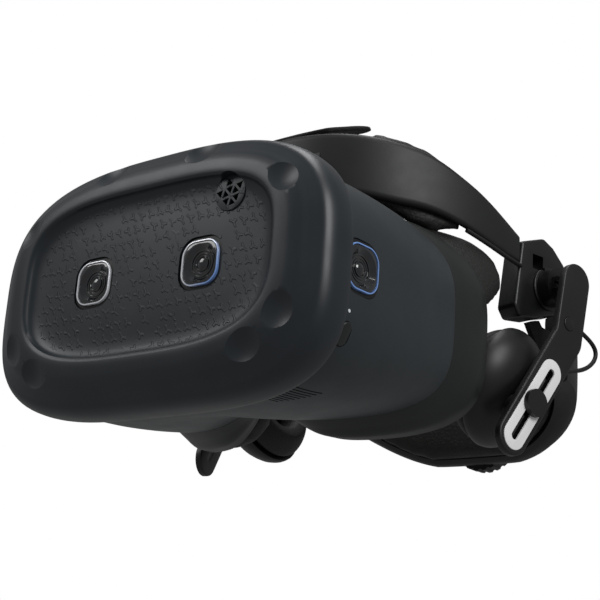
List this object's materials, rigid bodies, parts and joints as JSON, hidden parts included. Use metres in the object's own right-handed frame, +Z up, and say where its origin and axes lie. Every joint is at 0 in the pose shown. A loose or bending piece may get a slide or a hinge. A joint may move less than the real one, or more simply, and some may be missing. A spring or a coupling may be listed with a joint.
{
  "type": "vr headset",
  "caption": "Head-worn virtual reality visor with tracking cameras, a rigid halo strap, a rear cradle with a fitting dial and off-ear speakers on swinging arms.",
  "frame": {"origin": "point between the wearer's eyes, in the plane where the brow meets the visor: the face seat", "axes": "+X to the wearer's left, +Y towards the back of the head, -Y out of the front cameras, +Z up"},
  "size_m": [0.2248, 0.3126, 0.1786],
  "materials": {
    "cover": "satin dark grey moulding",
    "shell": "matt grey moulding",
    "frame": "satin dark grey moulding",
    "bezel": "pale glossy ring with a dark inside",
    "camera_glass": "dark lens and ring",
    "black": "matt black",
    "cushion": "dark padded textile",
    "band": "satin black",
    "strap": "woven black",
    "rubber": "matt black rubber",
    "board": "green circuit board",
    "alloy": "plain alloy",
    "steel": "bare steel",
    "lens": "clear lens",
    "light": "white light pipe",
    "arm": "satin black with a pale inlay"
  },
  "bodies": {
    "halo": {"front_band": "band", "hinge_bracket": "frame", "hinge_pin": "steel", "forehead_pad": "cushion", "strap_anchor": "strap", "side_strap_left": "strap", "side_strap_right": "strap", "pivot_block_left": "frame", "pivot_block_right": "frame", "lead_left": "rubber", "lead_right": "rubber"},
    "visor": {"faceplate": "cover", "vent_grille": "black", "front_bezel_left": "bezel", "front_bezel_right": "bezel", "front_camera_left": "camera_glass", "front_camera_right": "camera_glass", "main_housing": "shell", "side_bezel_left": "bezel", "side_bezel_right": "bezel", "side_camera_left": "camera_glass", "side_camera_right": "camera_glass", "status_light": "light", "main_board": "board", "heat_sink": "alloy", "fan_frame": "black", "optics_tray": "black", "guide_rods": "steel", "audio_socket": "black", "cable_gland": "rubber", "face_frame": "frame", "face_cushion": "cushion", "visor_hinge": "frame"},
    "button": {"headset_button": "frame"},
    "fan": {"fan_impeller": "black"},
    "left_lens": {"lens_barrel_left": "black", "eye_lens_left": "lens", "display_left": "camera_glass"},
    "right_lens": {"lens_barrel_right": "black", "eye_lens_right": "lens", "display_right": "camera_glass"},
    "knob": {"spacing_knob": "frame"},
    "cradle": {"rear_cradle": "band", "rear_pad": "cushion"},
    "dial": {"fitting_dial": "frame"},
    "left_rack": {"rack_left": "alloy"},
    "right_rack": {"rack_right": "alloy"},
    "left_hub": {"hub_left": "frame"},
    "left_arm": {"arm_left": "arm"},
    "left_slide": {"slide_knob_left": "frame"},
    "left_cup": {"ear_cup_left": "arm", "ear_pad_left": "rubber", "speaker_left": "frame"},
    "right_hub": {"hub_right": "frame"},
    "right_arm": {"arm_right": "arm"},
    "right_slide": {"slide_knob_right": "frame"},
    "right_cup": {"ear_cup_right": "arm", "ear_pad_right": "rubber", "speaker_right": "frame"}
  },
  "joints": [
    {"name": "visor_flip", "type": "hinge", "parent": "halo", "child": "visor", "pos_m": [0, -0.013, 0.076], "axis": [-1, 0, 0], "range_deg": [0, 70]},
    {"name": "button_press", "type": "slide", "parent": "visor", "child": "button", "axis": [-0.8988, 0, 0.4384], "range_m": [0, 0.0008], "stiffness_N_per_m": 400, "springref_m": -0.0008},
    {"name": "fan_spin", "type": "hinge", "parent": "visor", "child": "fan", "pos_m": [0.046, -0.088, 0.0285], "axis": [0, 1, 0], "continuous": true},
    {"name": "knob_turn", "type": "hinge", "parent": "visor", "child": "knob", "pos_m": [-0.086, -0.047, -0.04], "axis": [1, 0, 0], "range_deg": [0, 720]},
    {"name": "left_lens_slide", "type": "slide", "parent": "visor", "child": "left_lens", "axis": [1, 0, 0], "range_m": [0, 0.004]},
    {"name": "right_lens_slide", "type": "slide", "parent": "visor", "child": "right_lens", "axis": [-1, 0, 0], "range_m": [0, 0.004]},
    {"name": "cradle_slide", "type": "slide", "parent": "halo", "child": "cradle", "axis": [0, -1, 0], "range_m": [-0.006, 0.006]},
    {"name": "dial_turn", "type": "hinge", "parent": "cradle", "child": "dial", "pos_m": [0, 0.204, -0.013], "axis": [0, -1, 0], "range_deg": [-58, 58]},
    {"name": "left_rack_slide", "type": "slide", "parent": "cradle", "child": "left_rack", "axis": [-1, 0, 0], "range_m": [-0.006, 0.006]},
    {"name": "right_rack_slide", "type": "slide", "parent": "cradle", "child": "right_rack", "axis": [1, 0, 0], "range_m": [-0.006, 0.006]},
    {"name": "left_swing", "type": "hinge", "parent": "halo", "child": "left_hub", "pos_m": [0.09255, 0.11114, 0.041], "axis": [0.9659, -0.2588, 0], "range_deg": [0, 12], "deforming": ["lead_left"]},
    {"name": "left_flip", "type": "hinge", "parent": "left_hub", "child": "left_arm", "pos_m": [0.1022, 0.10855, 0.041], "axis": [-0.2588, -0.9659, 0], "range_deg": [0, 25]},
    {"name": "left_slide", "type": "slide", "parent": "left_arm", "child": "left_slide", "axis": [-0.1507, -0.5623, -0.8131], "range_m": [-0.006, 0.02]},
    {"name": "left_tilt", "type": "hinge", "parent": "left_slide", "child": "left_cup", "pos_m": [0.089, 0.0786, -0.02955], "axis": [0, 1, 0], "range_deg": [-8, 2]},
    {"name": "right_swing", "type": "hinge", "parent": "halo", "child": "right_hub", "pos_m": [-0.09255, 0.11114, 0.041], "axis": [0.9659, 0.2588, 0], "range_deg": [0, 12], "deforming": ["lead_right"]},
    {"name": "right_flip", "type": "hinge", "parent": "right_hub", "child": "right_arm", "pos_m": [-0.1022, 0.10855, 0.041], "axis": [-0.2588, 0.9659, 0], "range_deg": [0, 25]},
    {"name": "right_slide", "type": "slide", "parent": "right_arm", "child": "right_slide", "axis": [0.1507, -0.5623, -0.8131], "range_m": [-0.006, 0.02]},
    {"name": "right_tilt", "type": "hinge", "parent": "right_slide", "child": "right_cup", "pos_m": [-0.089, 0.0786, -0.02955], "axis": [0, -1, 0], "range_deg": [-8, 2]}
  ],
  "couplings": [
    {"joint": "knob_turn", "follows": "left_lens_slide", "rad_per_m": 3141.6},
    {"joint": "right_lens_slide", "follows": "left_lens_slide", "ratio": 1},
    {"joint": "dial_turn", "follows": "cradle_slide", "rad_per_m": 166.67},
    {"joint": "left_rack_slide", "follows": "cradle_slide", "ratio": 1},
    {"joint": "right_rack_slide", "follows": "cradle_slide", "ratio": 1}
  ]
}
